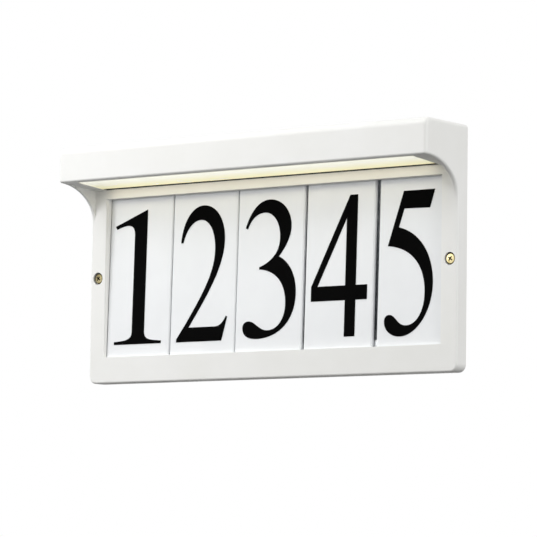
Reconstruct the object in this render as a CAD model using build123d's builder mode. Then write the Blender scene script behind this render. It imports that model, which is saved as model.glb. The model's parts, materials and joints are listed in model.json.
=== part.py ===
from build123d import *
import os
from math import atan2, cos, degrees, radians, sin, tan

# Illuminated house number sign: a hooded front over five number tiles on a wall plate.
# The origin is the centre of the wall plate's rear face, on the wall plane Y = 0.
# +X runs to the viewer's right, +Z runs up and the sign stands out from the wall towards -Y.

os.makedirs("parts", exist_ok=True)

# ---------------------------------------------------------------- driving dimensions (mm)
overall_width = 349.0
overall_height = 183.3
hood_depth = 54.0  # wall to the hood's front face
frame_depth = 12.0  # wall to the frame's front face
hood_front_height = 27.5
hood_top_radius = 5.5  # hood's upper front edge
underside_fall = 3.0  # how far the hood's underside drops from its front edge to the frame
gusset_drop = 27.1  # height of the quarter ellipse that carries the hood's ends
gusset_thickness = 3.2
side_border = 14.5  # frame's side to the window
bottom_border = 20.6  # frame's lower edge up to the window
window_drop = 9.7  # hood's lower front edge down to the window's top edge

wall_thickness = 2.5  # roof, hood front and outer sides
floor_thickness = 2.5  # hood's underside
face_thickness = 2.5  # frame's front face
jamb_thickness = 1.6
window_bevel = 1.0  # how far the window's sides draw in behind its front edge
window_bevel_depth = 2.0
bottom_corner_radius = 6.0
top_corner_radius = 3.0  # hood's ends, along the roof and down the front
outline_radius = 1.5  # soft front edge of the gussets and the frame

plate_thickness = 1.2  # pressed steel wall plate
plate_clearance = 0.3
seal_width = 3.2
seal_thickness = 1.8
seal_rib_depth = 2.0
root_overlap = 0.5  # how far a rib or boss is rooted in the wall that carries it
cut_overrun = 5.0  # how far a cut runs past an open face
hollow_overlap = 1.0  # how far two hollows run into each other

tile_cover = 4.0  # how far the tiles' channel reaches behind the frame at each end
tile_thickness = 3.0
tile_edge_radius = 1.2
tile_hidden_below = 2.2  # how much of each tile stands below the window's lower edge
tile_hidden_above = 2.3
tile_recess_bottom = 2.5  # frame face to tile face at the window's lower edge
tile_recess_top = 6.1  # the same at the window's top edge, because the tiles lean back
tile_gap_left = 4.4  # channel's left end to the first tile
tile_gaps = [0.9, 0.7, 2.4, 4.2]  # between the tiles as they stand
tile_gap_right = 0.4
tile_clearance = 0.3

digit_thickness = 0.3
digit_base = 9.7  # window's lower edge up to the foot of the digits
digit_headroom = 9.6  # digits up to the window's top edge
digit_units = 106.5  # the outlines of the digits are drawn this many units high
digit_shifts = [0.3, 0.5, 1.0, 0.8, -0.2]  # digits to the right of their tiles' centres

rail_thickness = 1.5
rail_bed_height = 8.0
rail_flange_lower = 16.0
rail_flange_upper = 9.0
upper_ledge_depth = 4.6
rivet_inset = 43.8  # rail's end to its first rivet
rivet_count = 4
rivet_radius = 1.5
rivet_head_radius = 2.7
rivet_head_height = 0.9

screw_inset = 7.2  # screw centre in from the frame's side
screw_radius = 2.0
screw_head_radius = 3.9
screw_head_height = 2.5
screw_head_recess = 0.6
screw_head_round = 0.8
screw_tip_chamfer = 0.5
counterbore_radius = 4.8
screw_washer_thickness = 0.5
screw_washer_radius = 4.4
screw_hole_clearance = 0.2
screw_tip_depth = 0.6  # wall to the screw's tip
boss_wall = 1.6  # round the counterbore
boss_floor = 1.75
retainer_thickness = 0.8
retainer_radius = 3.3
nut_radius = 3.0
nut_height = 4.0
nut_spigot_radius = 2.6
cross_slot_length = 4.0
cross_slot_width = 1.1
cross_slot_depth = 1.6
cross_slot_turn = 54.0
cross_slot_taper = 12.0
thread_clearance = 0.05
seat_gap = 0.3  # between faces of pieces that move apart

wall_hole_radius = 2.25
wall_hole_inset_x = 54.5  # in from the housing's outline
wall_hole_inset_z = 13.65
wall_hole_centre_z = -2.0
grommet_radius = 5.0
grommet_flange_radius = 7.5
grommet_flange_thickness = 1.8
grommet_bore_radius = 3.2
grommet_edge_radius = 0.6
grommet_drop = 15.65  # below the housing's top

lens_border = 15.5  # frame's side to the lens opening
lens_front_border = 5.4  # hood's front face to the lens opening
lens_back_border = 5.0  # lens to the frame's front face
seal_lip_width = 4.7  # lip of the seal that fills the joint behind the lens
lens_recess = 0.5
lens_clearance = 0.3
lens_flange = 2.4
lens_flange_thickness = 1.5
lens_seal_thickness = 0.8

reflector_thickness = 1.2
reflector_height = 12.0
board_end_gap = 6.0  # reflector's end to the board
board_width = 14.0
board_thickness = 1.6
led_count = 18
led_end_gap = 16.2  # reflector's end to the first LED's centre
led_size = 3.0
led_height = 0.7
fixing_radius = 1.45
fixing_head_radius = 2.6
fixing_head_height = 1.2
fixing_spacing = 8  # LED pitches between fixing screws
fixing_reach = 5.0  # how far a fixing screw stands into its boss
fixing_tip_room = 0.5  # hole beyond a fixing screw's tip
fixing_boss_radius = 3.2
lead_hole_radius = 2.2

device_depth = 8.4  # driver and terminal block, out from the wall
driver_length = 70.0
driver_height = 18.0
driver_x = -75.0
driver_corner_radius = 1.0
terminal_length = 30.0
terminal_height = 14.0
terminal_x = 42.0
terminal_corner_radius = 0.8
terminal_slot_width = 0.6
terminal_slot_depth = 0.4
terminal_screw_radius = 1.5
terminal_screw_pitch = 8.0
terminal_screw_count = 3
terminal_well_depth = 2.0
terminal_well_radius = 1.9
pad_thickness = 0.8
pad_margin = 2.0
lead_radius = 1.3
lead_bend = 4.5  # bend beside the driver
lead_drop_bend = 3.0  # bend down to the board
lead_x = -25.0  # where the board lead comes down
lead_crossing = 2.4  # reflector to the board lead that crosses it
lead_tip_gap = 0.15  # board to the lead's end

# ---------------------------------------------------------------- worked out from them
half_width = overall_width / 2
top = overall_height / 2
bottom = -overall_height / 2
hood_bottom = top - hood_front_height
window_top = hood_bottom - window_drop
window_bottom = bottom + bottom_border
window_height = window_top - window_bottom
window_width = overall_width - 2 * side_border
underside_run = hood_depth - frame_depth
underside_tilt = degrees(atan2(underside_fall, underside_run))
frame_inner = frame_depth - face_thickness
roof_inner = top - wall_thickness

tile_lean = degrees(atan2(tile_recess_top - tile_recess_bottom, window_height))
channel_half = window_width / 2 + tile_cover
tile_count = len(tile_gaps) + 1
tile_width = (2 * channel_half - tile_gap_left - sum(tile_gaps) - tile_gap_right) / tile_count
tile_height = window_height + tile_hidden_below + tile_hidden_above
digit_height = window_height - digit_base - digit_headroom
tile_centres = []
edge = -channel_half + tile_gap_left
for gap in tile_gaps + [0.0]:
    tile_centres.append(edge + tile_width / 2)
    edge = edge + tile_width + gap

screw_x = half_width - screw_inset
screw_z = (window_top + window_bottom) / 2
head_front = frame_depth - screw_head_recess
head_back = head_front - screw_head_height
counterbore_floor = head_back - thread_clearance - screw_washer_thickness
boss_back = counterbore_floor - boss_floor
nut_front = plate_thickness + nut_height

plate_inset = wall_thickness + plate_clearance
seal_front = plate_thickness + seal_thickness

lens_width = overall_width - 2 * lens_border
lens_front_depth = hood_depth - lens_front_border  # wall to the lens's front edge
lens_back_depth = frame_depth + lens_back_border
lens_depth = lens_front_depth - lens_back_depth
lens_mid = (lens_front_depth + lens_back_depth) / 2
opening_depth = lens_depth + seal_lip_width
opening_shift = seal_lip_width / 2
board_length = lens_width - 2 * board_end_gap
led_pitch = (lens_width - 2 * led_end_gap) / (led_count - 1)
fixing_pitch = fixing_spacing * led_pitch

lean_cos = cos(radians(tile_lean))
shelf_z = window_bottom - (tile_hidden_below + tile_clearance) * lean_cos
ledge_z = window_bottom + (tile_height - tile_hidden_below + tile_clearance) * lean_cos
shelf_front = frame_inner - seat_gap
rail_length = 2 * channel_half
rivet_pitch = (rail_length - 2 * rivet_inset) / (rivet_count - 1)
wall_hole_spacing_x = overall_width - 2 * wall_hole_inset_x
wall_hole_spacing_z = overall_height - 2 * wall_hole_inset_z
grommet_z = top - grommet_drop
bed_top = shelf_z + rail_bed_height
rivet_z_lower = shelf_z + (rail_bed_height + rail_flange_lower) / 2
rivet_z_upper = ledge_z + (rail_thickness + rail_flange_upper) / 2


def out_from_wall(depth):
    """Plane parallel to the wall; its normal points away from the wall, its y is up."""
    return Plane.XZ.offset(depth)


def underside_z(depth):
    """Height of the hood's underside at a distance from the wall."""
    return hood_bottom - underside_fall * (hood_depth - depth) / underside_run


def tile_back_depth(height):
    """Distance from the wall to the tiles' rear faces, less the clearance, at a height."""
    face = frame_depth - tile_recess_bottom - tan(radians(tile_lean)) * (height - window_bottom)
    return face - (tile_thickness + tile_clearance) / lean_cos


# Plane of the hood's underside: its normal points up into the hood, its y back to the wall.
underside = Plane(
    origin=(0, -lens_mid, underside_z(lens_mid)),
    x_dir=(1, 0, 0),
    z_dir=(0, sin(radians(underside_tilt)), cos(radians(underside_tilt))),
)

# Plane of the tiles' faces: y runs up the tiles from the window's lower edge.
tile_face = Plane(
    origin=(0, -(frame_depth - tile_recess_bottom), window_bottom),
    x_dir=(1, 0, 0),
    z_dir=(0, -cos(radians(tile_lean)), sin(radians(tile_lean))),
)


def save(builder, name):
    builder.part.label = name
    export_step(builder.part, f"parts/{name}.step")


def ring_sketch(inset, width):
    """Band that follows the housing's outline at an inset, on the current sketch."""
    outer_w = overall_width - 2 * inset
    outer_h = overall_height - 2 * inset
    RectangleRounded(outer_w, outer_h, bottom_corner_radius - inset)
    Rectangle(outer_w - 2 * width, outer_h - 2 * width, mode=Mode.SUBTRACT)


# ---------------------------------------------------------------- housing
with BuildPart() as housing:
    with BuildSketch(Plane.YZ.offset(-half_width)):
        with BuildLine():
            Line((0, bottom), (0, top))
            FilletPolyline(
                (0, top), (-hood_depth, top), (-hood_depth, hood_bottom), radius=hood_top_radius
            )
            EllipticalCenterArc(
                center=(-hood_depth, hood_bottom - gusset_drop),
                x_radius=underside_run,
                y_radius=gusset_drop,
                start_angle=0,
                arc_size=90,
            )
            Line((-frame_depth, hood_bottom - gusset_drop), (-frame_depth, bottom))
            Line((-frame_depth, bottom), (0, bottom))
        make_face()
    extrude(amount=overall_width)

    upright = housing.edges().filter_by(Axis.Y)
    fillet(upright.group_by(Axis.Z)[0], radius=bottom_corner_radius)
    fillet(housing.edges().filter_by(Axis.Y).group_by(Axis.Z)[-1], radius=top_corner_radius)
    flanks = housing.faces().filter_by(Axis.X)
    flank_edges = flanks.edges().filter_by(Axis.Y, reverse=True)
    lower_edges = flank_edges.filter_by_position(Axis.Z, bottom, hood_bottom)
    fillet(lower_edges.filter_by_position(Axis.Y, -hood_depth, -frame_inner), radius=outline_radius)

    # the open space under the hood, between the gussets
    with BuildSketch(Plane.YZ.offset(-half_width + gusset_thickness)):
        with BuildLine():
            past_front = hood_depth + cut_overrun
            below = hood_bottom - gusset_drop - cut_overrun
            Polyline(
                (-frame_depth, underside_z(frame_depth)),
                (-frame_depth, below),
                (-past_front, below),
                (-past_front, underside_z(past_front)),
                close=True,
            )
        make_face()
    extrude(amount=overall_width - 2 * gusset_thickness, mode=Mode.SUBTRACT)

    # hollow of the frame, open to the wall
    with BuildSketch(out_from_wall(0)):
        RectangleRounded(
            overall_width - 2 * wall_thickness,
            overall_height - 2 * wall_thickness,
            bottom_corner_radius - wall_thickness,
        )
    extrude(amount=frame_inner, mode=Mode.SUBTRACT)

    # hollow of the hood
    with BuildSketch(Plane.YZ.offset(-half_width + wall_thickness)):
        with BuildLine():
            floor_rise = floor_thickness / cos(radians(underside_tilt))
            hollow_front = hood_depth - wall_thickness
            hollow_back = frame_inner - hollow_overlap
            Polyline(
                (-hollow_back, roof_inner),
                (-hollow_front, roof_inner),
                (-hollow_front, underside_z(hollow_front) + floor_rise),
                (-hollow_back, underside_z(hollow_back) + floor_rise),
                close=True,
            )
        make_face()
    extrude(amount=overall_width - 2 * wall_thickness, mode=Mode.SUBTRACT)

    # window with its jambs, which reach back towards the leaning tiles
    with BuildSketch(out_from_wall(plate_thickness + seat_gap)):
        with Locations((0, (window_top + window_bottom) / 2)):
            Rectangle(window_width + 2 * jamb_thickness, window_height + 2 * jamb_thickness)
    extrude(amount=frame_inner - plate_thickness)
    with BuildSketch(out_from_wall(0)):
        with Locations((0, (window_top + window_bottom) / 2)):
            Rectangle(window_width - 2 * window_bevel, window_height)
    extrude(amount=frame_depth + cut_overrun, mode=Mode.SUBTRACT)
    with BuildSketch(Plane.XY.offset(window_bottom)):
        with BuildLine():
            Polyline(
                (-window_width / 2, -frame_depth),
                (window_width / 2, -frame_depth),
                (window_width / 2 - window_bevel, -frame_depth + window_bevel_depth),
                (-window_width / 2 + window_bevel, -frame_depth + window_bevel_depth),
                close=True,
            )
        make_face()
    extrude(amount=window_height, mode=Mode.SUBTRACT)

    # bosses for the two front screws
    with BuildSketch(out_from_wall(boss_back)):
        with Locations((-screw_x, screw_z), (screw_x, screw_z)):
            Circle(counterbore_radius + boss_wall)
    extrude(amount=frame_inner - boss_back)

    # rib that presses on the wall plate's seal
    with BuildSketch(out_from_wall(seal_front)):
        ring_sketch(wall_thickness - root_overlap, seal_width + plate_clearance + root_overlap)
    extrude(amount=seal_rib_depth)
    with BuildSketch(out_from_wall(0)):
        with Locations((-screw_x, screw_z), (screw_x, screw_z)):
            Circle(retainer_radius + seat_gap)
    extrude(amount=boss_back, mode=Mode.SUBTRACT)

    # slot for the leaning tiles: everything behind their faces inside the channel
    slot_bottom = -tile_hidden_below - tile_clearance
    slot_height = tile_height + 2 * tile_clearance
    with BuildSketch(tile_face.offset(tile_clearance)):
        with Locations((0, slot_bottom + slot_height / 2)):
            Rectangle(2 * channel_half, slot_height)
    extrude(amount=-frame_depth, mode=Mode.SUBTRACT)

    # counterbored holes for the front screws
    with Locations(out_from_wall(frame_depth)):
        with Locations((-screw_x, screw_z), (screw_x, screw_z)):
            CounterBoreHole(
                radius=screw_radius + screw_hole_clearance,
                counter_bore_radius=counterbore_radius,
                counter_bore_depth=frame_depth - counterbore_floor,
                depth=frame_depth,
            )

    # lens opening in the underside
    with BuildSketch(underside.offset(-hollow_overlap)):
        with Locations((0, opening_shift)):
            Rectangle(lens_width, opening_depth)
    extrude(amount=floor_thickness + 2 * hollow_overlap, mode=Mode.SUBTRACT)

    # bosses that the reflector and the board screw up into
    boss_start = (
        floor_thickness
        + lens_seal_thickness
        + lens_flange_thickness
        + reflector_height
        + reflector_thickness
    )
    boss_height = (roof_inner - underside.origin.Z) / cos(radians(underside_tilt)) - boss_start
    with BuildSketch(underside.offset(boss_start)):
        with GridLocations(fixing_pitch, 1, 3, 1):
            Circle(fixing_boss_radius)
    extrude(amount=boss_height + wall_thickness / 2)
    with BuildSketch(underside.offset(boss_start)):
        with GridLocations(fixing_pitch, 1, 3, 1):
            Circle(fixing_radius + thread_clearance)
    extrude(amount=fixing_reach + fixing_tip_room, mode=Mode.SUBTRACT)

save(housing, "housing")

# ---------------------------------------------------------------- wall plate and what it carries
with BuildPart() as wall_plate:
    with BuildSketch(out_from_wall(0)):
        RectangleRounded(
            overall_width - 2 * plate_inset,
            overall_height - 2 * plate_inset,
            bottom_corner_radius - plate_inset,
        )
        with Locations((0, wall_hole_centre_z)):
            with GridLocations(wall_hole_spacing_x, wall_hole_spacing_z, 2, 2):
                Circle(wall_hole_radius, mode=Mode.SUBTRACT)
        with Locations((-screw_x, screw_z), (screw_x, screw_z)):
            Circle(nut_spigot_radius, mode=Mode.SUBTRACT)
        with Locations((0, grommet_z)):
            Circle(grommet_radius, mode=Mode.SUBTRACT)
        for row in (rivet_z_lower, rivet_z_upper):
            with Locations((0, row)):
                with GridLocations(rivet_pitch, 1, rivet_count, 1):
                    Circle(rivet_radius, mode=Mode.SUBTRACT)
    extrude(amount=plate_thickness)
save(wall_plate, "wall_plate")

with BuildPart() as plate_seal:
    with BuildSketch(out_from_wall(plate_thickness)):
        ring_sketch(plate_inset, seal_width)
        with Locations((-screw_x, screw_z), (screw_x, screw_z)):
            Circle(nut_radius + seat_gap, mode=Mode.SUBTRACT)
    extrude(amount=seal_thickness)
save(plate_seal, "wall_plate_seal")

with BuildPart() as clinch_nuts:
    with BuildSketch(out_from_wall(0)):
        with Locations((-screw_x, screw_z), (screw_x, screw_z)):
            Circle(nut_spigot_radius)
    extrude(amount=plate_thickness)
    with BuildSketch(out_from_wall(plate_thickness)):
        with Locations((-screw_x, screw_z), (screw_x, screw_z)):
            Circle(nut_radius)
    extrude(amount=nut_height)
    with BuildSketch(out_from_wall(0)):
        with Locations((-screw_x, screw_z), (screw_x, screw_z)):
            Circle(screw_radius + thread_clearance)
    extrude(amount=nut_front, mode=Mode.SUBTRACT)
save(clinch_nuts, "clinch_nuts")

with BuildPart() as grommet:
    with BuildSketch(out_from_wall(0)):
        with Locations((0, grommet_z)):
            Circle(grommet_radius)
    extrude(amount=plate_thickness)
    with BuildSketch(out_from_wall(plate_thickness)):
        with Locations((0, grommet_z)):
            Circle(grommet_flange_radius)
    extrude(amount=grommet_flange_thickness)
    fillet(grommet.edges().filter_by(GeomType.CIRCLE).sort_by(Axis.Y)[0], radius=grommet_edge_radius)
    with BuildSketch(out_from_wall(0)):
        with Locations((0, grommet_z)):
            Circle(grommet_bore_radius)
    extrude(amount=plate_thickness + grommet_flange_thickness, mode=Mode.SUBTRACT)
save(grommet, "cable_grommet")

# ---------------------------------------------------------------- rails that hold the tiles
with BuildPart() as rail_lower:
    with BuildSketch(Plane.YZ.offset(-rail_length / 2)):
        with BuildLine():
            Polyline(
                (-plate_thickness, shelf_z + rail_flange_lower),
                (-plate_thickness, shelf_z - rail_thickness),
                (-shelf_front, shelf_z - rail_thickness),
                (-shelf_front, shelf_z),
                (-tile_back_depth(shelf_z), shelf_z),
                (-tile_back_depth(bed_top), bed_top),
                (-tile_back_depth(bed_top) + rail_thickness, bed_top),
                (-tile_back_depth(shelf_z) + rail_thickness, shelf_z),
                (-plate_thickness - rail_thickness, shelf_z),
                (-plate_thickness - rail_thickness, shelf_z + rail_flange_lower),
                close=True,
            )
        make_face()
    extrude(amount=rail_length)
    with BuildSketch(out_from_wall(0)):
        with Locations((0, rivet_z_lower)):
            with GridLocations(rivet_pitch, 1, rivet_count, 1):
                Circle(rivet_radius)
    extrude(amount=plate_thickness + rail_thickness, mode=Mode.SUBTRACT)
save(rail_lower, "tile_rail_lower")

with BuildPart() as rail_upper:
    with BuildSketch(Plane.YZ.offset(-rail_length / 2)):
        with BuildLine():
            Polyline(
                (-plate_thickness, ledge_z),
                (-plate_thickness - upper_ledge_depth, ledge_z),
                (-plate_thickness - upper_ledge_depth, ledge_z + rail_thickness),
                (-plate_thickness - rail_thickness, ledge_z + rail_thickness),
                (-plate_thickness - rail_thickness, ledge_z + rail_flange_upper),
                (-plate_thickness, ledge_z + rail_flange_upper),
                close=True,
            )
        make_face()
    extrude(amount=rail_length)
    with BuildSketch(out_from_wall(0)):
        with Locations((0, rivet_z_upper)):
            with GridLocations(rivet_pitch, 1, rivet_count, 1):
                Circle(rivet_radius)
    extrude(amount=plate_thickness + rail_thickness, mode=Mode.SUBTRACT)
save(rail_upper, "tile_rail_upper")

with BuildPart() as rivets:
    rivet_front = plate_thickness + rail_thickness
    with BuildSketch(out_from_wall(0)):
        for row in (rivet_z_lower, rivet_z_upper):
            with Locations((0, row)):
                with GridLocations(rivet_pitch, 1, rivet_count, 1):
                    Circle(rivet_radius)
    extrude(amount=rivet_front)
    with BuildSketch(out_from_wall(rivet_front)):
        for row in (rivet_z_lower, rivet_z_upper):
            with Locations((0, row)):
                with GridLocations(rivet_pitch, 1, rivet_count, 1):
                    Circle(rivet_head_radius)
    extrude(amount=rivet_head_height)
    fillet(rivets.faces().sort_by(Axis.Y)[: 2 * rivet_count].edges(), radius=rivet_head_height / 2)
save(rivets, "rail_rivets")

# ---------------------------------------------------------------- number tiles
for number, centre in enumerate(tile_centres, start=1):
    with BuildPart() as tile:
        with BuildSketch(tile_face):
            with Locations((centre, tile_height / 2 - tile_hidden_below)):
                Rectangle(tile_width, tile_height)
        extrude(amount=-tile_thickness)
        front_face = tile.faces().sort_by(Axis(tile_face.origin, tile_face.z_dir))[-1]
        fillet(front_face.edges(), radius=tile_edge_radius)
    save(tile, f"tile_{number}")


# Each digit is drawn in its own units from its foot up, with x measured from its tile's centre.
def digit_one():
    stem_left, stem_right = -6.4, 5.9
    slab_left, slab_right, slab_height = -24.1, 23.2, 2.2
    bracket = 10.0
    with BuildSketch() as outline:
        with BuildLine():
            Polyline((slab_left, slab_height), (slab_left, 0), (slab_right, 0), (slab_right, slab_height))
            Bezier((slab_right, slab_height), (12.0, 3.0), (stem_right, 3.2), (stem_right, bracket))
            Polyline((stem_right, bracket), (stem_right, digit_units), (-26.3, 94.3), (-24.7, 91.9))
            Bezier((-24.7, 91.9), (-14.0, 95.6), (stem_left, 96.5), (stem_left, 86.0))
            Line((stem_left, 86.0), (stem_left, bracket))
            Bezier((stem_left, bracket), (stem_left, 3.2), (-12.5, 3.0), (slab_left, slab_height))
        make_face()
    return outline.sketch


def digit_two():
    with BuildSketch() as outline:
        with BuildLine():
            Polyline((-15.9, 15.4), (-25.7, 2.2), (-25.7, 0), (18.6, 0), (23.6, 18.4), (22.5, 19.2))
            Bezier((22.5, 19.2), (19.5, 13.5), (16.0, 11.2), (11.5, 11.2))
            Line((11.5, 11.2), (-13.9, 11.2))
            Bezier((-13.9, 11.2), (5.0, 38.0), (19.1, 58.0), (19.1, 78.7))
            Bezier((19.1, 78.7), (19.1, 95.0), (9.5, digit_units), (-2.2, digit_units))
            Bezier((-2.2, digit_units), (-14.5, digit_units), (-22.5, 94.0), (-23.8, 77.7))
            Line((-23.8, 77.7), (-21.8, 77.7))
            Bezier((-21.8, 77.7), (-18.8, 88.5), (-12.5, 95.2), (-5.0, 95.2))
            Bezier((-5.0, 95.2), (4.5, 95.2), (10.0, 84.0), (10.0, 71.2))
            Bezier((10.0, 71.2), (10.0, 53.0), (-1.0, 37.0), (-15.9, 15.4))
        make_face()
    return outline.sketch


def digit_three():
    with BuildSketch() as outline:
        with BuildLine():
            Bezier((-25.1, 86.2), (-20.5, 99.5), (-12.5, 107.4), (-2.6, 107.4))
            Bezier((-2.6, 107.4), (9.5, 107.4), (18.6, 97.5), (18.6, 85.5))
            Bezier((18.6, 85.5), (18.6, 77.5), (13.5, 69.5), (7.4, 62.9))
            Bezier((7.4, 62.9), (18.0, 58.5), (24.4, 47.0), (24.4, 34.0))
            Bezier((24.4, 34.0), (24.4, 11.0), (7.0, 0.0), (-12.0, 0.0))
            Bezier((-12.0, 0.0), (-20.5, 0.0), (-25.4, 3.0), (-25.4, 9.0))
            Bezier((-25.4, 9.0), (-25.4, 12.0), (-23.0, 13.8), (-19.9, 13.8))
            Bezier((-19.9, 13.8), (-13.5, 13.8), (-10.0, 6.4), (-1.4, 6.4))
            Bezier((-1.4, 6.4), (8.5, 6.4), (14.9, 15.0), (14.9, 26.0))
            Bezier((14.9, 26.0), (14.9, 40.5), (6.5, 52.0), (-11.0, 53.6))
            Line((-11.0, 53.6), (-11.0, 55.3))
            Bezier((-11.0, 55.3), (2.5, 59.8), (8.2, 67.5), (8.2, 77.5))
            Bezier((8.2, 77.5), (8.2, 89.0), (1.5, 97.4), (-7.0, 97.4))
            Bezier((-7.0, 97.4), (-14.5, 97.4), (-20.0, 93.0), (-23.2, 85.2))
            Line((-23.2, 85.2), (-25.1, 86.2))
        make_face()
    return outline.sketch


def digit_four():
    stem_left, stem_right = 5.2, 14.9
    bar_left, bar_right, bar_low, bar_high = -26.4, 25.4, 26.6, 37.8
    with BuildSketch() as outline:
        with BuildLine():
            Polyline(
                (stem_left, -1.0),
                (stem_right, -1.0),
                (stem_right, bar_low),
                (bar_right, bar_low),
                (bar_right, bar_high),
                (stem_right, bar_high),
                (stem_right, digit_units),
                (7.8, digit_units),
                (bar_left, bar_high),
                (bar_left, bar_low),
                (stem_left, bar_low),
                close=True,
            )
        make_face()
        with BuildLine():
            Polyline((stem_left, bar_high), (stem_left, 89.3), (-20.6, bar_high), close=True)
        make_face(mode=Mode.SUBTRACT)
    return outline.sketch


def digit_five():
    with BuildSketch() as outline:
        with BuildLine():
            Polyline((-22.9, 65.5), (-9.6, digit_units), (18.4, digit_units), (14.2, 92.7), (-8.8, 93.2))
            Line((-8.8, 93.2), (-13.4, 79.3))
            Bezier((-13.4, 79.3), (6.5, 74.5), (18.3, 57.0), (18.3, 36.0))
            Bezier((18.3, 36.0), (18.3, 15.0), (4.5, -2.7), (-10.3, -2.7))
            Bezier((-10.3, -2.7), (-18.5, -2.7), (-24.6, 2.5), (-24.6, 8.9))
            Bezier((-24.6, 8.9), (-24.6, 12.0), (-22.8, 13.8), (-20.0, 13.8))
            Bezier((-20.0, 13.8), (-14.5, 13.8), (-13.0, 5.5), (-4.7, 5.5))
            Bezier((-4.7, 5.5), (5.0, 5.5), (11.3, 16.0), (11.3, 29.0))
            Bezier((11.3, 29.0), (11.3, 50.0), (-1.5, 63.5), (-22.9, 65.5))
        make_face()
    return outline.sketch


for number, centre in enumerate(tile_centres, start=1):
    draw_digit = [digit_one, digit_two, digit_three, digit_four, digit_five][number - 1]
    outline = draw_digit()
    digit_x = centre + digit_shifts[number - 1]
    foot = Plane(tile_face.from_local_coords((digit_x, digit_base, 0)), tile_face.x_dir, tile_face.z_dir)
    with BuildPart() as numeral:
        with BuildSketch(foot):
            add(scale(outline, by=digit_height / digit_units, mode=Mode.PRIVATE))
        extrude(amount=digit_thickness)
    save(numeral, f"numeral_{number}")

# ---------------------------------------------------------------- lens and light
lens_seat = floor_thickness + lens_seal_thickness
flange_top = lens_seat + lens_flange_thickness
reflector_top = flange_top + reflector_height

with BuildPart() as lens_seal:
    with BuildSketch(underside.offset(floor_thickness)):
        with Locations((0, opening_shift)):
            Rectangle(lens_width + 2 * lens_flange, opening_depth + 2 * lens_flange)
        Rectangle(lens_width, lens_depth, mode=Mode.SUBTRACT)
    extrude(amount=lens_seal_thickness)
    with BuildSketch(underside.offset(lens_recess)):
        with Locations((0, (lens_depth + seal_lip_width) / 2)):
            Rectangle(lens_width, seal_lip_width)
    extrude(amount=floor_thickness - lens_recess)
save(lens_seal, "lens_seal")

with BuildPart() as lens:
    with BuildSketch(underside.offset(lens_recess)):
        Rectangle(lens_width - 2 * lens_clearance, lens_depth - 2 * lens_clearance)
    extrude(amount=lens_seat - lens_recess)
    with BuildSketch(underside.offset(lens_seat)):
        with Locations((0, opening_shift)):
            Rectangle(lens_width + 2 * lens_flange, opening_depth + 2 * lens_flange)
    extrude(amount=lens_flange_thickness)
save(lens, "lens")

with BuildPart() as reflector:
    outer_w = lens_width + 2 * reflector_thickness
    outer_d = lens_depth + 2 * reflector_thickness
    with BuildSketch(underside.offset(flange_top)):
        Rectangle(outer_w, outer_d)
    extrude(amount=reflector_height + reflector_thickness)
    with BuildSketch(underside.offset(flange_top)):
        Rectangle(lens_width, lens_depth)
    extrude(amount=reflector_height, mode=Mode.SUBTRACT)
    with BuildSketch(underside.offset(reflector_top)):
        with GridLocations(fixing_pitch, 1, 3, 1):
            Circle(fixing_radius + thread_clearance)
        with Locations((lead_x, 0)):
            Circle(lead_hole_radius)
    extrude(amount=reflector_thickness, mode=Mode.SUBTRACT)
save(reflector, "reflector")

with BuildPart() as led_board:
    with BuildSketch(underside.offset(reflector_top)):
        Rectangle(board_length, board_width)
        with GridLocations(fixing_pitch, 1, 3, 1):
            Circle(fixing_radius + thread_clearance, mode=Mode.SUBTRACT)
    extrude(amount=-board_thickness)
save(led_board, "led_board")

with BuildPart() as leds:
    with BuildSketch(underside.offset(reflector_top - board_thickness)):
        with GridLocations(led_pitch, 1, led_count, 1):
            Rectangle(led_size, led_size)
    extrude(amount=-led_height)
save(leds, "leds")

with BuildPart() as fixing_screws:
    head_top = reflector_top - board_thickness
    with BuildSketch(underside.offset(head_top)):
        with GridLocations(fixing_pitch, 1, 3, 1):
            Circle(fixing_head_radius)
    extrude(amount=-fixing_head_height)
    with BuildSketch(underside.offset(head_top)):
        with GridLocations(fixing_pitch, 1, 3, 1):
            Circle(fixing_radius)
    extrude(amount=board_thickness + reflector_thickness + fixing_reach)
save(fixing_screws, "reflector_screws")

# ---------------------------------------------------------------- driver, terminals and leads
device_top = roof_inner - pad_thickness
device_back = seal_front + seal_rib_depth + seat_gap
device_mid_y = -(device_back + device_depth / 2)

with BuildPart() as pads:
    with BuildSketch(Plane.XY.offset(device_top)):
        with Locations((driver_x, device_mid_y)):
            Rectangle(driver_length - 2 * pad_margin, device_depth - 2 * pad_margin)
        with Locations((terminal_x, device_mid_y)):
            Rectangle(terminal_length - 2 * pad_margin, device_depth - 2 * pad_margin)
    extrude(amount=pad_thickness)
save(pads, "mounting_pads")

with BuildPart() as driver:
    with BuildSketch(Plane.XY.offset(device_top)):
        with Locations((driver_x, device_mid_y)):
            Rectangle(driver_length, device_depth)
    extrude(amount=-driver_height)
    fillet(driver.edges().filter_by(Axis.Z), radius=driver_corner_radius)
save(driver, "led_driver")

with BuildPart() as terminal_block:
    with BuildSketch(Plane.XY.offset(device_top)):
        with Locations((terminal_x, device_mid_y)):
            Rectangle(terminal_length, device_depth)
    extrude(amount=-terminal_height)
    fillet(terminal_block.edges().filter_by(Axis.Z), radius=terminal_corner_radius)
    with BuildSketch(out_from_wall(device_back)):
        with Locations((terminal_x, device_top - terminal_height / 2)):
            with GridLocations(terminal_screw_pitch, 1, terminal_screw_count, 1):
                Circle(terminal_well_radius)
    extrude(amount=terminal_well_depth, mode=Mode.SUBTRACT)
save(terminal_block, "terminal_block")

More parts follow.
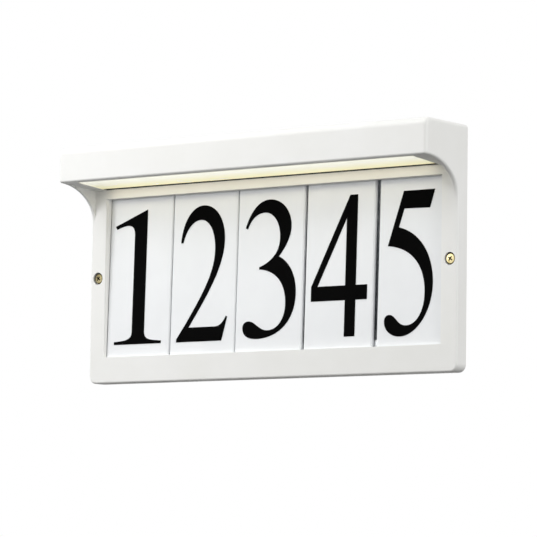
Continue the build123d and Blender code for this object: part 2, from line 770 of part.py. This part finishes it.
with BuildPart() as terminal_screws:
    with BuildSketch(out_from_wall(device_back + terminal_well_depth)):
        with Locations((terminal_x, device_top - terminal_height / 2)):
            with GridLocations(terminal_screw_pitch, 1, terminal_screw_count, 1):
                Circle(terminal_screw_radius)
    extrude(amount=-terminal_well_depth / 2)
    with BuildSketch(out_from_wall(device_back + terminal_well_depth / 2)):
        with Locations((terminal_x, device_top - terminal_height / 2)):
            with GridLocations(terminal_screw_pitch, 1, terminal_screw_count, 1):
                Rectangle(2 * terminal_screw_radius, terminal_slot_width)
    extrude(amount=terminal_slot_depth, mode=Mode.SUBTRACT)
save(terminal_screws, "terminal_screws")

lead_z = device_top - terminal_height / 2
with BuildPart() as lead_in:
    with BuildSketch(Plane.YZ.offset(driver_x + driver_length / 2)):
        with Locations((device_mid_y, lead_z)):
            Circle(lead_radius)
    extrude(amount=(terminal_x - terminal_length / 2) - (driver_x + driver_length / 2))
save(lead_in, "input_lead")

with BuildPart() as lead_out:
    board_back = underside.offset(reflector_top).origin
    lead_top = reflector_top + reflector_thickness
    crossing_z = underside.offset(lead_top).origin.Z + lead_radius + lead_crossing
    driver_end = driver_x + driver_length / 2
    with BuildLine() as lead_path:
        FilletPolyline(
            (driver_end, device_mid_y, crossing_z),
            (lead_x, device_mid_y, crossing_z),
            (lead_x, board_back.Y, crossing_z),
            (lead_x, board_back.Y, board_back.Z + lead_tip_gap),
            radius=[lead_bend, lead_drop_bend],
        )
    with BuildSketch(Plane.YZ.offset(driver_end)):
        with Locations((device_mid_y, crossing_z)):
            Circle(lead_radius)
    sweep(path=lead_path.line)
save(lead_out, "board_lead")

# ---------------------------------------------------------------- front screws
with BuildPart() as screw_washers:
    with BuildSketch(out_from_wall(counterbore_floor)):
        with Locations((-screw_x, screw_z), (screw_x, screw_z)):
            Circle(screw_washer_radius)
            Circle(screw_radius + screw_hole_clearance, mode=Mode.SUBTRACT)
    extrude(amount=screw_washer_thickness)
save(screw_washers, "screw_washers")

for side, x in (("left", -screw_x), ("right", screw_x)):
    with BuildPart() as screw:
        with BuildSketch(out_from_wall(head_back)):
            with Locations((x, screw_z)):
                Circle(screw_head_radius)
        extrude(amount=screw_head_height)
        fillet(screw.edges().filter_by(GeomType.CIRCLE).sort_by(Axis.Y)[0], radius=screw_head_round)
        with BuildSketch(out_from_wall(screw_tip_depth)):
            with Locations((x, screw_z)):
                Circle(screw_radius)
        extrude(amount=head_back - screw_tip_depth)
        chamfer(screw.edges().filter_by(GeomType.CIRCLE).sort_by(Axis.Y)[-1], length=screw_tip_chamfer)
        with BuildSketch(out_from_wall(head_front)):
            with Locations(Location((x, screw_z), cross_slot_turn)):
                Rectangle(cross_slot_length, cross_slot_width)
                Rectangle(cross_slot_width, cross_slot_length)
        extrude(amount=-cross_slot_depth, taper=cross_slot_taper, mode=Mode.SUBTRACT)
    save(screw, f"screw_{side}")

    with BuildPart() as retainer:
        retainer_front = boss_back - seat_gap
        with BuildSketch(out_from_wall(retainer_front)):
            with Locations((x, screw_z)):
                Circle(retainer_radius)
                Circle(screw_radius, mode=Mode.SUBTRACT)
        extrude(amount=-retainer_thickness)
    save(retainer, f"screw_retainer_{side}")
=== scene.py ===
import bpy
import json
import math
import numpy as np
from mathutils import Matrix, Vector


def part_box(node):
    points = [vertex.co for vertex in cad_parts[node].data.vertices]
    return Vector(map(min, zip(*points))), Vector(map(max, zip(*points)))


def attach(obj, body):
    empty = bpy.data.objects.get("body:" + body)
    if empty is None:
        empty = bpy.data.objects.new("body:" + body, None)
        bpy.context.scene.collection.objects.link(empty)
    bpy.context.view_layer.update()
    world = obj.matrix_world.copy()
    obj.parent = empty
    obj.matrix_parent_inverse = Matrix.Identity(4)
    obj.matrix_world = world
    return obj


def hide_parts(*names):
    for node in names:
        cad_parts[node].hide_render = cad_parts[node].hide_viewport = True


# Illuminated house number sign: finishes, detailed front screws, studio and camera.
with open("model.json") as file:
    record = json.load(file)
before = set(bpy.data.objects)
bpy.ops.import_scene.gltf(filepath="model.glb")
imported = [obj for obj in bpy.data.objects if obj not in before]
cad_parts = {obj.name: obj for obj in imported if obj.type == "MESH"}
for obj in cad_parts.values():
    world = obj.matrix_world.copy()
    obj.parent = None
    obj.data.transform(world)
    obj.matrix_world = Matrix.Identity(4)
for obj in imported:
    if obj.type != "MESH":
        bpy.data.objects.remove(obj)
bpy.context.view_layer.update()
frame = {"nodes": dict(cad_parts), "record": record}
nodes = frame["nodes"]
mm = 0.001
mixA, mixB, mixed = 6, 7, 2  # a Mix node's colour sockets: its two inputs and its output
print("frame loaded:", len(nodes), "nodes")


def linear(hexColour):
    # sRGB to linear: c / 12.92 for dark channels, otherwise ((c + 0.055) / 1.055) to the power 2.4
    c = np.array([int(hexColour[k:k + 2], 16) for k in (1, 3, 5)]) / 255
    c = np.where(c <= 0.04045, c / 12.92, ((c + 0.055) / 1.055) ** 2.4)
    return (float(c[0]), float(c[1]), float(c[2]), 1.0)


def addNode(tree, kind, settings=None, values=None, links=None):
    # values are set on the node's sockets; links say which output feeds which socket
    node = tree.nodes.new(kind)
    for name, setting in (settings or {}).items():
        setattr(node, name, setting)
    for name, value in (values or {}).items():
        node.inputs[name].default_value = value
    for name, (source, output) in (links or {}).items():
        tree.links.new(source.outputs[output], node.inputs[name])
    return node


def shaderOf(name):
    # a new material, its node tree and its main shader
    material = bpy.data.materials.new(name)
    material.use_nodes = True
    tree = material.node_tree
    return material, tree, tree.nodes["Principled BSDF"]


def perMetre(sizeInMm):
    # a noise of this scale has features about this many millimetres across
    return 1000.0 / sizeInMm


# How every finish spreads its two tones: the noises' detail, the noise levels between which the tone
# changes, and those between which the roughness does.
spread = {"broadDetail": 3.0, "broadRoughness": 0.55, "fineDetail": 2.0, "fineRoughness": 0.5,
          "toneFrom": 0.35, "toneTo": 0.65, "roughFrom": 0.3, "roughTo": 0.7}


def tintedSurface(tree, shader, look):
    # two close tones mixed by a broad noise, a roughness that varies with it, and a fine relief
    coords = addNode(tree, "ShaderNodeTexCoord")
    stretch = addNode(tree, "ShaderNodeMapping", values={"Scale": look.get("stretch", (1, 1, 1))},
                      links={"Vector": (coords, "Object")})
    broad = addNode(tree, "ShaderNodeTexNoise",
                    values={"Scale": perMetre(look["patch"]), "Detail": spread["broadDetail"],
                            "Roughness": spread["broadRoughness"]},
                    links={"Vector": (stretch, "Vector")})
    tones = addNode(tree, "ShaderNodeValToRGB", links={"Fac": (broad, "Fac")})
    first, last = tones.color_ramp.elements
    first.position, last.position = spread["toneFrom"], spread["toneTo"]
    first.color, last.color = linear(look["tone"]), linear(look["toneAlso"])
    gloss = addNode(tree, "ShaderNodeMapRange",
                    values={"From Min": spread["roughFrom"], "From Max": spread["roughTo"],
                            "To Min": look["rough"][0], "To Max": look["rough"][1]},
                    links={"Value": (broad, "Fac")})
    fine = addNode(tree, "ShaderNodeTexNoise",
                   values={"Scale": perMetre(look["grain"]), "Detail": spread["fineDetail"],
                           "Roughness": spread["fineRoughness"]},
                   links={"Vector": (stretch, "Vector")})
    relief = addNode(tree, "ShaderNodeBump",
                     values={"Strength": look["reliefStrength"], "Distance": look["relief"] * mm},
                     links={"Height": (fine, "Fac")})
    tree.links.new(tones.outputs["Color"], shader.inputs["Base Color"])
    tree.links.new(gloss.outputs["Result"], shader.inputs["Roughness"])
    tree.links.new(relief.outputs["Normal"], shader.inputs["Normal"])
    return coords


# In each finish, patch is the size of its tone patches, grain that of its fine relief and relief
# that relief's height, all in millimetres; rough is the roughness from one tone to the other.
# Injection moulded ASA, satin from a lightly spark-eroded tool: soft even white, faint grain.
housingLook = {"tone": "#EFEFEC", "toneAlso": "#F3F3F1", "patch": 60, "rough": (0.42, 0.50),
               "grain": 0.9, "relief": 0.006, "reliefStrength": 0.35}
# Extruded opal acrylic lit from behind: near white at its front edge, straw-coloured at the rear.
# The glow's tones run from front to rear (Y in millimetres, 0 at the wall); middle is the share of
# the way at which its middle tone is reached.
lensLook = {"tone": "#EDEADF", "toneAlso": "#F2EFE6", "patch": 45, "rough": (0.22, 0.30),
            "grain": 1.2, "relief": 0.004, "reliefStrength": 0.2, "ior": 1.49,
            "glowFront": "#FCFCE9", "glowMiddle": "#E9E9DA", "glowRear": "#D2CA88",
            "front": -48.6, "middle": 0.3, "rear": -17.0, "glowStrength": 0.70}
# Moulded or cut EPDM rubber: near black and dull, with a slight bloom. On the lens's seal lip it also
# makes the dark strip behind the lens.
sealLook = {"tone": "#0D0D07", "toneAlso": "#16160D", "patch": 12, "rough": (0.72, 0.86),
            "grain": 0.35, "relief": 0.015, "reliefStrength": 0.6, "specular": 0.3}
# Injection moulded white polycarbonate: bright and glossy.
reflectorLook = {"tone": "#F4F4F1", "toneAlso": "#F7F7F5", "patch": 40, "rough": (0.14, 0.20),
                 "grain": 1.5, "relief": 0.003, "reliefStrength": 0.2}
# White solder mask over glass laminate: satin, with the laminate's grain faintly showing.
boardLook = {"tone": "#EEEEE8", "toneAlso": "#F2F2EE", "patch": 8, "rough": (0.30, 0.38),
             "grain": 0.5, "relief": 0.008, "reliefStrength": 0.4}
# Phosphor in silicone: deep yellow, soft and slightly glossy.
ledLook = {"tone": "#F1D56A", "toneAlso": "#F6DF86", "patch": 1.5, "rough": (0.25, 0.35),
           "grain": 0.3, "relief": 0.01, "reliefStrength": 0.3}
# Closed-cell foam: charcoal with visible cells.
foamLook = {"tone": "#232323", "toneAlso": "#343434", "patch": 1.2, "rough": (0.85, 0.95),
            "grain": 0.6, "relief": 0.10, "reliefStrength": 0.9, "specular": 0.2}
# Black ABS driver case from a textured tool: a dull, pebbled dark grey.
driverLook = {"tone": "#262729", "toneAlso": "#2C2D2F", "patch": 14, "rough": (0.48, 0.58),
              "grain": 0.4, "relief": 0.03, "reliefStrength": 0.7}
# Natural polyamide terminal block: ivory, waxy.
terminalLook = {"tone": "#E9E4D6", "toneAlso": "#EEEADF", "patch": 10, "rough": (0.36, 0.44),
                "grain": 0.6, "relief": 0.008, "reliefStrength": 0.4}
# Extruded PVC lead: smooth white, a little uneven.
leadLook = {"tone": "#E6E6E1", "toneAlso": "#EEEEEA", "patch": 6, "rough": (0.36, 0.46),
            "grain": 0.8, "relief": 0.01, "reliefStrength": 0.3}
# Natural nylon, moulded: a waxy off-white.
nylonLook = {"tone": "#E4E0D2", "toneAlso": "#ECE9DD", "patch": 4, "rough": (0.34, 0.42),
             "grain": 0.5, "relief": 0.006, "reliefStrength": 0.3}
# Injection moulded acrylic tile, gloss: cool white that keeps the digits crisp.
tileLook = {"tone": "#EDEFF1", "toneAlso": "#F1F3F5", "patch": 45, "rough": (0.20, 0.27),
            "grain": 1.6, "relief": 0.003, "reliefStrength": 0.2}
# Screen-printed matt black ink: dense and opaque, hardly any shine.
inkLook = {"tone": "#020202", "toneAlso": "#040404", "patch": 9, "rough": (0.62, 0.78),
           "grain": 0.3, "relief": 0.006, "reliefStrength": 0.4, "specular": 0.02}
# Pressed steel, electroplated zinc: pale grey with a soft mottled crystal.
zincLook = {"tone": "#BDC0C4", "toneAlso": "#D2D5D8", "patch": 3.5, "rough": (0.30, 0.46),
            "grain": 0.7, "relief": 0.01, "reliefStrength": 0.5}
# Zinc with a thin yellow passivate: straw with creamy patches, and a near-black tone used as painted
# shade on the screws.
yellowZincLook = {"tone": "#C9B67C", "toneAlso": "#E6D9AE", "patch": 2.2, "rough": (0.34, 0.46),
                  "grain": 0.4, "relief": 0.008, "reliefStrength": 0.4, "paintedShade": "#0B0A05"}
# Mill-finish aluminium extrusion: fine die lines along its length.
railLook = {"tone": "#C4C6C8", "toneAlso": "#DADCDD", "patch": 1.0, "rough": (0.28, 0.42),
            "grain": 0.4, "relief": 0.012, "reliefStrength": 0.5, "stretch": (0.02, 1, 1)}


usualPlastic = {"ior": 1.5, "specular": 0.5}


def plastic(name, look):
    # a dielectric: the tinted surface under an ordinary highlight
    material, tree, shader = shaderOf(name)
    shader.inputs["IOR"].default_value = usualPlastic["ior"]
    shader.inputs["Specular IOR Level"].default_value = look.get("specular", usualPlastic["specular"])
    tintedSurface(tree, shader, look)
    return material


def metal(name, look):
    # a conductor: the tinted surface colours its reflections
    material, tree, shader = shaderOf(name)
    shader.inputs["Metallic"].default_value = 1.0
    tintedSurface(tree, shader, look)
    if "paintedShade" in look:
        # where the mesh's painted-shade attribute says so, the painted shade's dark tone takes the
        # metal's place
        where = addNode(tree, "ShaderNodeAttribute", {"attribute_name": "paintedShade"})
        unshadedTone = shader.inputs["Base Color"].links[0].from_node
        shadedTone = addNode(tree, "ShaderNodeMix", {"data_type": "RGBA"},
                        values={mixB: linear(look["paintedShade"])},
                        links={"Factor": (where, "Fac"), mixA: (unshadedTone, "Color")})
        tree.links.new(shadedTone.outputs[mixed], shader.inputs["Base Color"])
    return material


def opalAcrylic(name, look):
    # the diffuser: the glow's tone runs from the front edge to the rear one, by distance from the
    # wall, and passes its middle tone at a share of the way
    material, tree, shader = shaderOf(name)
    shader.inputs["IOR"].default_value = look["ior"]
    shader.inputs["Emission Strength"].default_value = look["glowStrength"]
    coords = tintedSurface(tree, shader, look)
    place = addNode(tree, "ShaderNodeSeparateXYZ", links={"Vector": (coords, "Object")})
    depth = addNode(tree, "ShaderNodeMapRange",
                    values={"From Min": look["front"] * mm, "From Max": look["rear"] * mm},
                    links={"Value": (place, "Y")})
    glow = addNode(tree, "ShaderNodeValToRGB", links={"Fac": (depth, "Result")})
    first, last = glow.color_ramp.elements
    first.color, last.color = linear(look["glowFront"]), linear(look["glowRear"])
    glow.color_ramp.elements.new(look["middle"]).color = linear(look["glowMiddle"])
    tree.links.new(glow.outputs["Color"], shader.inputs["Emission Color"])
    return material


finishes = {
    "housing_white": plastic("mouldedAsa", housingLook),
    "lens_opal": opalAcrylic("opalAcrylic", lensLook),
    # the seal lip's near black is what darkens the strip between the lens and the frame
    "seal_rubber": plastic("mouldedEpdm", sealLook),
    "reflector_white": plastic("glossPolycarbonate", reflectorLook),
    "board_white": plastic("solderMask", boardLook),
    "led_phosphor": plastic("phosphorSilicone", ledLook),
    "zinc_steel": metal("zincPlatedSteel", zincLook),
    "yellow_zinc": metal("yellowPassivatedZinc", yellowZincLook),
    "foam_pad": plastic("closedCellFoam", foamLook),
    "driver_case": plastic("texturedAbs", driverLook),
    "terminal_case": plastic("mouldedPolyamide", terminalLook),
    "lead_jacket": plastic("extrudedPvc", leadLook),
    "washer_rubber": plastic("cutRubberSheet", sealLook),
    "retainer_nylon": plastic("naturalNylon", nylonLook),
    "rail_aluminium": metal("extrudedAluminium", railLook),
    "tile_white": plastic("mouldedAcrylic", tileLook),
    "numeral_black": plastic("printedInk", inkLook),
}
for subpart in frame["record"]["subparts"]:
    mesh = nodes[subpart["node"]].data
    mesh.materials.clear()
    mesh.materials.append(finishes[subpart["material_slot"]])
print("finishes assigned:", len(finishes))


# Pan head screw with a cross recess and a rolled thread. Sizes in millimetres, heights measured off
# the wall, angles in degrees.
screw = {"headRadius": 3.9, "edgeRound": 0.8, "domeRise": 0.35, "headFront": 11.4, "headBack": 8.9,
         "shankRadius": 2.0, "threadPitch": 0.7, "threadDepth": 0.32, "threadFade": 1.2,
         "tip": 0.6, "tipTaper": 0.5, "tipShrink": 0.9,
         "crossLength": 4.0, "crossWidth": 1.1, "crossDepth": 1.6, "crossTurn": 54.0,
         "crossWall": 0.22, "crossOverrun": 0.25,
         # painted shade from 0 to 1: full in the cross recess and on the rim, from its fourth edge
         # ring on; on a screw given shade it also lies over the whole screw, darkest on one side at
         # the turn given
         "shadeGain": 3.0, "shadeRimFrom": 3, "shadeMean": 0.80, "shadeSwing": 0.20, "shadeTurn": 120.0,
         "shadeLeft": 0.85, "shadeRight": 0.0,
         # mesh: the innermost rings, the step between two stretches of the profile, the rings of
         # each stretch, the points of a ring, and the angle from which an edge stays sharp
         "innermost": 0.06, "endInnermost": 0.1, "leastRadius": 0.05, "step": 0.02,
         "topRings": 46, "edgeRings": 8, "underRings": 5, "shankRings": 130, "endRings": 5,
         "around": 120, "sharpFrom": 38.0}


def screwPiece(name, node, body, shading):
    # a profile (distance from the axis, height off the wall) carried round the screw's axis;
    # the cross is sunk into the head's top and the thread is a triangle wave along the helix
    s = screw
    low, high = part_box(node)
    axisX = (low.x + high.x) / 2 / mm
    axisZ = (low.z + high.z) / 2 / mm

    # the profile: domed top, rounded edge, head's underside, shank and end
    flat = s["headRadius"] - s["edgeRound"]
    topR = np.linspace(s["innermost"], flat, s["topRings"])
    topH = s["headFront"] - s["domeRise"] * (topR / flat) ** 2
    bend = np.linspace(0, np.pi / 2, s["edgeRings"] + 1)[1:]
    edgeR = flat + s["edgeRound"] * np.sin(bend)
    edgeH = topH[-1] - s["edgeRound"] * (1 - np.cos(bend))
    underR = np.linspace(s["headRadius"], s["shankRadius"], s["underRings"])
    underH = np.full(s["underRings"], s["headBack"])
    shankH = np.linspace(s["headBack"] - s["step"], s["tip"] + s["step"], s["shankRings"])
    shankR = np.full(s["shankRings"], s["shankRadius"])
    endR = np.linspace(s["shankRadius"] - s["tipTaper"], s["endInnermost"], s["endRings"])
    endH = np.full(s["endRings"], s["tip"])
    radius = np.concatenate([topR, edgeR, underR, shankR, endR])
    height = np.concatenate([topH, edgeH, underH, shankH, endH])
    rings, n = len(radius), s["around"]
    angle = np.arange(n) * 2 * np.pi / n
    r, a = np.meshgrid(radius, angle, indexing="ij")
    h = np.repeat(height[:, None], n, axis=1)
    ring = np.arange(rings)[:, None]
    shankStart = s["topRings"] + s["edgeRings"] + s["underRings"]
    onHead = ring < s["topRings"]
    onRim = (ring >= s["topRings"] + s["shadeRimFrom"]) & (ring < shankStart)
    onShank = (ring >= shankStart) & (ring < shankStart + s["shankRings"])

    # thread: fades in under the head and thins over the tapered tip
    wave = np.abs(2 * np.mod(h / s["threadPitch"] + a / (2 * np.pi), 1) - 1)
    fade = np.clip((s["headBack"] - h) / s["threadFade"], 0, 1)
    taper = np.clip((s["tip"] + s["tipTaper"] - h) / s["tipTaper"], 0, 1) * s["tipTaper"]
    threaded = r - s["threadDepth"] * wave * fade - taper * s["tipShrink"]
    r = np.maximum(np.where(onShank, threaded, r), s["leastRadius"])

    # cross: depth grows from the arms' ends to the middle, with sloped walls
    u = r * np.cos(a - math.radians(s["crossTurn"]))
    v = r * np.sin(a - math.radians(s["crossTurn"]))
    halfLength, halfWidth = s["crossLength"] / 2, s["crossWidth"] / 2
    armU = np.minimum(halfLength - np.abs(u), halfWidth - np.abs(v))
    armV = np.minimum(halfLength - np.abs(v), halfWidth - np.abs(u))
    inside = np.clip(np.maximum(armU, armV) / s["crossWall"], 0, 1)
    fromEnd = halfLength + s["crossOverrun"] - np.maximum(np.abs(u), np.abs(v))
    along = np.clip(fromEnd / halfLength, 0, 1)
    h = h - s["crossDepth"] * np.where(onHead, inside * along, 0)

    # points ring by ring, then the two that close the head's middle and the tip
    x = (axisX + r * np.cos(a)) * mm
    z = (axisZ + r * np.sin(a)) * mm
    points = np.stack([x, -h * mm, z], -1).reshape(-1, 3)
    ends = np.array([[axisX * mm, -(s["headFront"] - s["crossDepth"]) * mm, axisZ * mm],
                     [axisX * mm, -s["tip"] * mm, axisZ * mm]])
    points = np.concatenate([points, ends])
    i, j = np.meshgrid(np.arange(rings - 1), np.arange(n), indexing="ij")
    after = (j + 1) % n
    quads = np.stack([(i + 1) * n + j, (i + 1) * n + after, i * n + after, i * n + j], -1)
    k = np.arange(n)
    middle, tip, lastRing = np.full(n, rings * n), np.full(n, rings * n + 1), (rings - 1) * n
    headFan = np.stack([k, (k + 1) % n, middle], -1)
    tipFan = np.stack([lastRing + (k + 1) % n, lastRing + k, tip], -1)
    faces = quads.reshape(-1, 4).tolist() + headFan.tolist() + tipFan.tolist()
    mesh = bpy.data.meshes.new(name)
    mesh.from_pydata(points.tolist(), [], faces)

    # painted shade: full in the cross recess and on the rim, elsewhere the one-sided painted shade;
    # the head's middle is in the cross
    sideSwing = s["shadeSwing"] * np.cos(a - math.radians(s["shadeTurn"]))
    sideShade = shading * (s["shadeMean"] + sideSwing)
    crossShade = np.clip(s["shadeGain"] * inside, 0, 1)
    shadeLevel = np.where(onHead, np.maximum(crossShade, sideShade), np.where(onRim, 1.0, sideShade))
    paintedShade = mesh.attributes.new("paintedShade", "FLOAT", "POINT")
    paintedShade.data.foreach_set("value", np.concatenate([shadeLevel.ravel(), [1.0, 0.0]]))
    mesh.validate()
    mesh.shade_smooth()
    mesh.set_sharp_from_angle(angle=math.radians(s["sharpFrom"]))
    mesh.materials.append(finishes["yellow_zinc"])
    piece = bpy.data.objects.new(name, mesh)
    bpy.context.scene.collection.objects.link(piece)
    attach(piece, body)
    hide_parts(node)


# painted shade darkens the whole left screw; the right one gets it only in its cross and on its rim
screwPiece("frontScrewLeft", "screw_left", "screw_left", screw["shadeLeft"])
screwPiece("frontScrewRight", "screw_right", "screw_right", screw["shadeRight"])
print("front screws made")


# Studio, in metres and watts: three soft keys from the left, one lamp above, one from the right, a
# white surround, and a floor that is pale to the eye but throws little light up. The glow lamp is
# the lens's light on the frame just behind it; its tilt is in degrees.
studio = {"floorDrop": 0.42, "floorReach": 4.0, "floorTone": "#F1F1EF", "floorDim": "#424241",
          "floorRough": 0.9, "ambient": "#FFFFFE", "ambientStrength": 0.60, "lampTone": "#FFFFFF",
          "lamps": {
              "keySide": {"place": (-1.20, -0.60, 0.35), "size": (0.8, 0.8), "power": 3.8},
              "keyHigh": {"place": (-0.70, -0.90, 0.50), "size": (0.8, 0.8), "power": 3.8},
              "keyLow": {"place": (-0.70, -1.10, 0.15), "size": (0.8, 0.8), "power": 1.6},
              "top": {"place": (-0.20, -0.45, 0.60), "size": (0.5, 0.5), "power": 1.4},
              "fill": {"place": (1.40, -0.35, 0.25), "size": (0.8, 0.8), "power": 8.2}},
          "glow": {"place": (0.0, -0.0200, 0.0608), "size": (0.31, 0.005), "power": 0.0084,
                   "tone": "#FFF5DC", "tilt": 50.0}}


def seenDirectly(tree):
    # 1 for rays from the eye and for those mirrored or let through on their way to it, otherwise 0
    ray = addNode(tree, "ShaderNodeLightPath")
    mirrored = addNode(tree, "ShaderNodeMath", {"operation": "MAXIMUM"},
                       links={0: (ray, "Is Camera Ray"), 1: (ray, "Is Glossy Ray")})
    return addNode(tree, "ShaderNodeMath", {"operation": "MAXIMUM"},
                   links={0: (mirrored, "Value"), 1: (ray, "Is Transmission Ray")})


reach, drop = studio["floorReach"], -studio["floorDrop"]
floorCorners = [(-reach, -reach, drop), (reach, -reach, drop),
                (reach, reach, drop), (-reach, reach, drop)]
floorMesh = bpy.data.meshes.new("studioFloor")
floorMesh.from_pydata(floorCorners, [], [(0, 1, 2, 3)])
floor = bpy.data.objects.new("studioFloor", floorMesh)
bpy.context.scene.collection.objects.link(floor)
floorMaterial, floorTree, floorShader = shaderOf("matteBackdrop")
floorTones = addNode(floorTree, "ShaderNodeMix", {"data_type": "RGBA"},
                     values={mixA: linear(studio["floorDim"]), mixB: linear(studio["floorTone"])},
                     links={"Factor": (seenDirectly(floorTree), "Value")})
floorTree.links.new(floorTones.outputs[mixed], floorShader.inputs["Base Color"])
floorShader.inputs["Roughness"].default_value = studio["floorRough"]
floorMesh.materials.append(floorMaterial)


def addLamp(name, lamp, turn):
    # a rectangular lamp at its place, which the camera doesn't see
    data = bpy.data.lights.new(name + "Lamp", "AREA")
    data.shape = "RECTANGLE"
    data.size, data.size_y = lamp["size"]
    data.energy = lamp["power"]
    data.color = linear(lamp.get("tone", studio["lampTone"]))[:3]
    light = bpy.data.objects.new(name + "Lamp", data)
    light.location = lamp["place"]
    light.rotation_euler = turn
    light.visible_camera = False
    bpy.context.scene.collection.objects.link(light)


for name, lamp in studio["lamps"].items():
    addLamp(name, lamp, Vector(lamp["place"]).to_track_quat("Z", "Y").to_euler())
addLamp("glow", studio["glow"], (math.radians(studio["glow"]["tilt"]), 0, 0))

world = bpy.data.worlds.new("softSurround")
bpy.context.scene.world = world
world.use_nodes = True
sky = world.node_tree
sky.nodes.clear()
soft = addNode(sky, "ShaderNodeBackground",
               values={"Color": linear(studio["ambient"]), "Strength": studio["ambientStrength"]})
white = addNode(sky, "ShaderNodeBackground", values={"Color": (1, 1, 1, 1), "Strength": 1.0})
either = addNode(sky, "ShaderNodeMixShader",
                 links={0: (seenDirectly(sky), "Value"), 1: (soft, "Background"),
                        2: (white, "Background")})
addNode(sky, "ShaderNodeOutputWorld", links={"Surface": (either, "Shader")})
bpy.context.scene.view_settings.view_transform = "Standard"
print("studio set")


# Camera: a long lens from the right and a little below. Angles in degrees, lens and sensor in
# millimetres, the rest in metres.
camera = {"yaw": 36.89790811, "pitch": 5.46950404, "roll": 0.77868494, "lens": 227.864,
          "sensor": 36.0, "farEnd": 20.0, "place": (1.549824, -2.074310, -0.254996)}
yaw, pitch, roll = (math.radians(camera[k]) for k in ("yaw", "pitch", "roll"))
ahead = Vector((-math.sin(yaw), math.cos(yaw), 0))
aside = Vector((math.cos(yaw), math.sin(yaw), 0))
upward = Vector((0, 0, 1))
sight = ahead * math.cos(pitch) + upward * math.sin(pitch)
lifted = upward * math.cos(pitch) - ahead * math.sin(pitch)
right = aside * math.cos(roll) + lifted * math.sin(roll)
over = lifted * math.cos(roll) - aside * math.sin(roll)
lensData = bpy.data.cameras.new("viewCamera")
lensData.sensor_width = camera["sensor"]
lensData.lens = camera["lens"]
lensData.clip_end = camera["farEnd"]
viewCamera = bpy.data.objects.new("viewCamera", lensData)
viewCamera.matrix_world = Matrix((
    (right.x, over.x, -sight.x, camera["place"][0]),
    (right.y, over.y, -sight.y, camera["place"][1]),
    (right.z, over.z, -sight.z, camera["place"][2]),
    (0, 0, 0, 1)))
bpy.context.scene.collection.objects.link(viewCamera)
bpy.context.scene.camera = viewCamera
print("camera set")
